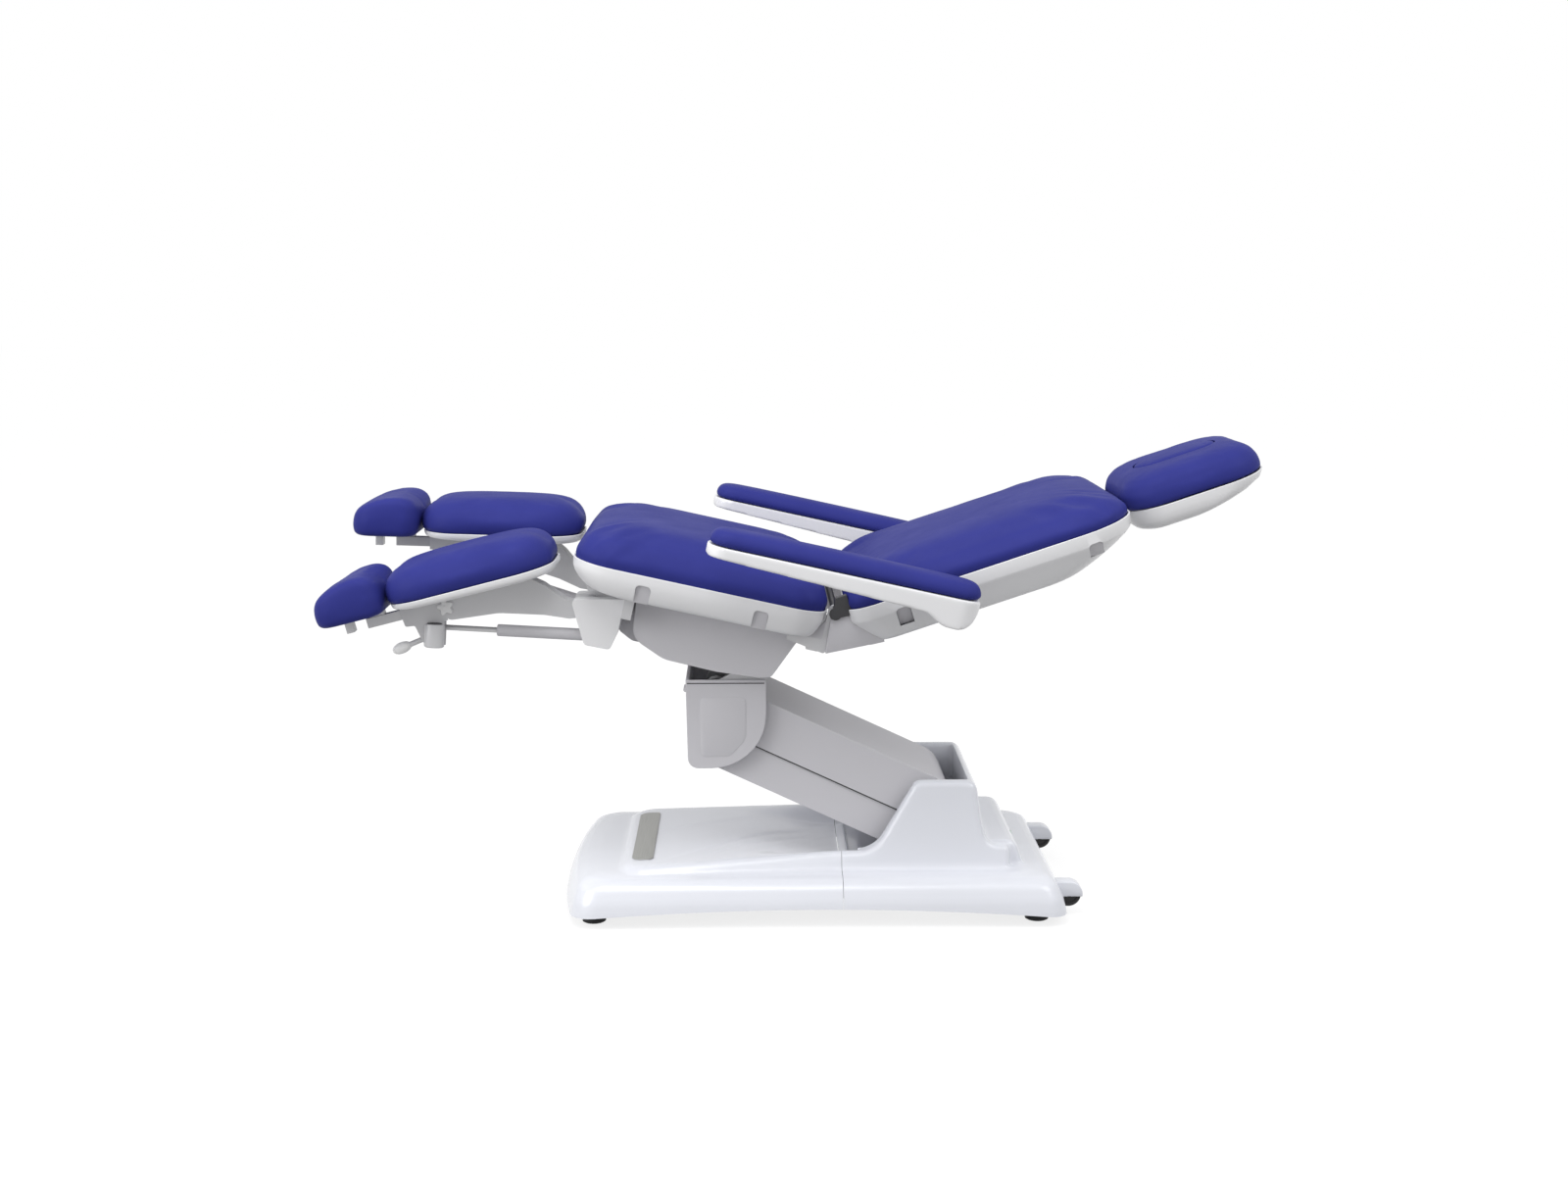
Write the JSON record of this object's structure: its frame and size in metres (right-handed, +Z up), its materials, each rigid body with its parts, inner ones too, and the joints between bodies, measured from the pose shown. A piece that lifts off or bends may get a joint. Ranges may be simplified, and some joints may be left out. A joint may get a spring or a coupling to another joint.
{
  "type": "spa treatment table",
  "caption": "Motorised spa treatment table with a parallel-link lift, tilting seat, reclining padded back, headrest, armrests and split sliding leg rests on a low moulded base.",
  "frame": {"origin": "on the floor, at the middle of the table's outline seen from above", "axes": "+X towards the head end, +Y to the sitter's left, +Z up"},
  "size_m": [1.9061, 0.867, 0.9633],
  "materials": {
    "black": "dull",
    "cover": "satin moulding",
    "dark": "dull",
    "gloss": "glossy moulding",
    "green": "clear lit rocker",
    "paint": "satin paint",
    "plate": "brushed",
    "shell": "semi-gloss moulding",
    "steel": "plain steel",
    "vinyl": "soft satin vinyl"
  },
  "bodies": {
    "base": {"base_frame": "steel", "front_base_cover": "gloss", "rear_base_cover": "gloss", "levelling_foot_front_near": "black", "levelling_foot_front_far": "black", "levelling_foot_rear_near": "black", "levelling_foot_rear_far": "black", "name_plate": "plate", "power_panel": "shell"},
    "switch": {"power_switch": "green"},
    "wheel_near": {"transport_wheel_near": "black"},
    "wheel_far": {"transport_wheel_far": "black"},
    "upper_arm": {"upper_lift_arm": "steel", "upper_arm_cover": "cover"},
    "lower_arm": {"lower_lift_arm": "cover"},
    "lift_motor": {"lift_actuator_body": "dark"},
    "lift_rod": {"lift_actuator_rod": "steel"},
    "head": {"head_bracket": "paint", "head_cover": "cover"},
    "seat": {"seat_frame": "steel", "belly_pan": "cover", "seat_shell": "shell", "seat_cushion": "vinyl", "tilt_actuator_body": "dark", "back_actuator_body": "dark", "leg_casting_near": "shell", "leg_casting_far": "shell", "back_hinge_pin": "dark"},
    "tilt_rod": {"tilt_actuator_rod": "steel"},
    "back_rod": {"back_actuator_rod": "steel"},
    "back": {"back_frame": "paint", "back_shell": "shell", "back_cushion": "vinyl"},
    "headrest_posts": {"headrest_posts": "steel"},
    "headrest": {"headrest_shell": "shell", "headrest_cushion": "vinyl"},
    "plug": {"breathing_plug": "vinyl"},
    "armrest_near": {"armrest_shell_near": "shell", "armrest_pad_near": "vinyl"},
    "leg_near": {"leg_arm_near": "paint", "leg_tray_near": "shell", "leg_cushion_near": "vinyl"},
    "foot_near": {"foot_slide_near": "steel", "foot_pad_near": "vinyl"},
    "knob_near": {"star_knob_near": "shell"},
    "cylinder_near": {"gas_cylinder_near": "steel"},
    "gas_rod_near": {"gas_rod_near": "steel"},
    "lever_near": {"release_lever_near": "paint"},
    "armrest_far": {"armrest_shell_far": "shell", "armrest_pad_far": "vinyl"},
    "leg_far": {"leg_arm_far": "paint", "leg_tray_far": "shell", "leg_cushion_far": "vinyl"},
    "foot_far": {"foot_slide_far": "steel", "foot_pad_far": "vinyl"},
    "knob_far": {"star_knob_far": "shell"},
    "cylinder_far": {"gas_cylinder_far": "steel"},
    "gas_rod_far": {"gas_rod_far": "steel"},
    "lever_far": {"release_lever_far": "paint"}
  },
  "joints": [
    {"name": "lift", "type": "hinge", "parent": "base", "child": "upper_arm", "pos_m": [0.2693, 0, 0.232], "axis": [0, 1, 0], "range_deg": [-9, 22]},
    {"name": "lower_link", "type": "hinge", "parent": "base", "child": "lower_arm", "pos_m": [0.2693, 0, 0.127], "axis": [0, 1, 0], "range_deg": [-9.5, 22.5]},
    {"name": "head_level", "type": "hinge", "parent": "upper_arm", "child": "head", "pos_m": [-0.16573, 0, 0.43486], "axis": [0, 1, 0], "range_deg": [-22.5, 9.5]},
    {"name": "lift_motor_swing", "type": "hinge", "parent": "base", "child": "lift_motor", "pos_m": [0.2693, 0, 0.127], "axis": [0, 1, 0], "range_deg": [-8.35, 19.68]},
    {"name": "lift_screw", "type": "slide", "parent": "lift_motor", "child": "lift_rod", "axis": [-0.8163, 0, 0.5777], "range_m": [-0.0132, 0.0309]},
    {"name": "seat_tilt", "type": "hinge", "parent": "head", "child": "seat", "pos_m": [-0.07073, 0, 0.49986], "axis": [0, 1, 0], "range_deg": [-10, 10]},
    {"name": "tilt_screw", "type": "slide", "parent": "seat", "child": "tilt_rod", "axis": [0.9763, 0, -0.2164], "range_m": [-0.0132, 0.0132]},
    {"name": "back_recline", "type": "hinge", "parent": "seat", "child": "back", "pos_m": [0.07552, 0, 0.63746], "axis": [0, -1, 0], "range_deg": [-27, 32]},
    {"name": "back_screw", "type": "slide", "parent": "seat", "child": "back_rod", "axis": [0.9763, 0, -0.2164], "range_m": [-0.041, 0.0484]},
    {"name": "armrest_near", "type": "hinge", "parent": "back", "child": "armrest_near", "pos_m": [0.30569, 0, 0.67441], "axis": [0, -1, 0], "range_deg": [-32.5, 27.5]},
    {"name": "armrest_far", "type": "hinge", "parent": "back", "child": "armrest_far", "pos_m": [0.30569, 0, 0.67441], "axis": [0, -1, 0], "range_deg": [-32.5, 27.5]},
    {"name": "headrest_slide", "type": "slide", "parent": "back", "child": "headrest_posts", "axis": [0.9483, 0, 0.3173], "range_m": [0, 0.08]},
    {"name": "headrest_tilt", "type": "hinge", "parent": "headrest_posts", "child": "headrest", "pos_m": [0.72736, 0, 0.83237], "axis": [0, -1, 0], "range_deg": [-30, 6]},
    {"name": "breathing_plug", "type": "slide", "parent": "headrest", "child": "plug", "axis": [-0.3173, 0, 0.9483], "range_m": [0, 0.07]},
    {"name": "leg_near", "type": "hinge", "parent": "seat", "child": "leg_near", "pos_m": [-0.41463, -0.15, 0.6396], "axis": [0, 1, 0], "range_deg": [-32, 19]},
    {"name": "foot_near", "type": "slide", "parent": "leg_near", "child": "foot_near", "axis": [-0.9686, 0, -0.2487], "range_m": [0, 0.12]},
    {"name": "knob_near", "type": "hinge", "parent": "leg_near", "child": "knob_near", "pos_m": [-0.7069, -0.15, 0.63993], "axis": [0, 1, 0], "range_deg": [0, 270]},
    {"name": "spring_swing_near", "type": "hinge", "parent": "seat", "child": "cylinder_near", "pos_m": [-0.40083, -0.15, 0.57713], "axis": [0, 1, 0], "range_deg": [-31.69, 19.02]},
    {"name": "spring_stroke_near", "type": "slide", "parent": "cylinder_near", "child": "gas_rod_near", "axis": [-0.9983, 0, 0.0579], "range_m": [-0.0359, 0.0217]},
    {"name": "release_near", "type": "hinge", "parent": "gas_rod_near", "child": "lever_near", "pos_m": [-0.74479, -0.15, 0.57606], "axis": [0, 1, 0], "range_deg": [0, 10], "stiffness_Nm_per_rad": 0.8},
    {"name": "leg_far", "type": "hinge", "parent": "seat", "child": "leg_far", "pos_m": [-0.41463, 0.15, 0.6396], "axis": [0, 1, 0], "range_deg": [-48, 2.8]},
    {"name": "foot_far", "type": "slide", "parent": "leg_far", "child": "foot_far", "axis": [-0.9995, 0, 0.0314], "range_m": [0, 0.12]},
    {"name": "knob_far", "type": "hinge", "parent": "leg_far", "child": "knob_far", "pos_m": [-0.6952, 0.15, 0.72146], "axis": [0, 1, 0], "range_deg": [0, 270]},
    {"name": "spring_swing_far", "type": "hinge", "parent": "seat", "child": "cylinder_far", "pos_m": [-0.40083, 0.15, 0.57713], "axis": [0, 1, 0], "range_deg": [-46.23, 3.17]},
    {"name": "spring_stroke_far", "type": "slide", "parent": "cylinder_far", "child": "gas_rod_far", "axis": [-0.9498, 0, 0.3127], "range_m": [-0.0521, 0.004]},
    {"name": "release_far", "type": "hinge", "parent": "gas_rod_far", "child": "lever_far", "pos_m": [-0.74924, 0.15, 0.66973], "axis": [0, 1, 0], "range_deg": [0, 10], "stiffness_Nm_per_rad": 0.8},
    {"name": "wheel_near", "type": "hinge", "parent": "base", "child": "wheel_near", "pos_m": [0.5593, -0.2, 0.044], "axis": [0, 1, 0], "continuous": true},
    {"name": "wheel_far", "type": "hinge", "parent": "base", "child": "wheel_far", "pos_m": [0.5593, 0.2, 0.044], "axis": [0, 1, 0], "continuous": true},
    {"name": "rocker", "type": "hinge", "parent": "base", "child": "switch", "pos_m": [0.46281, -0.01, 0.11496], "axis": [-0.3321, 0, 0.9432], "range_deg": [-4, 4]}
  ],
  "couplings": [
    {"joint": "lower_link", "follows": "lift", "ratio": 1},
    {"joint": "head_level", "follows": "lift", "ratio": -1},
    {"joint": "lift_motor_swing", "follows": "lift", "ratio": 0.87167},
    {"joint": "lift_screw", "follows": "lift", "m_per_rad": 0.077811},
    {"joint": "tilt_screw", "follows": "seat_tilt", "m_per_rad": -0.07},
    {"joint": "back_screw", "follows": "back_recline", "m_per_rad": 0.0848},
    {"joint": "armrest_near", "follows": "back_recline", "ratio": -1},
    {"joint": "armrest_far", "follows": "back_recline", "ratio": -1},
    {"joint": "spring_swing_near", "follows": "leg_near", "ratio": 0.97467},
    {"joint": "spring_stroke_near", "follows": "leg_near", "m_per_rad": 0.062452},
    {"joint": "spring_swing_far", "follows": "leg_far", "ratio": 0.95272},
    {"joint": "spring_stroke_far", "follows": "leg_far", "m_per_rad": 0.06095}
  ]
}
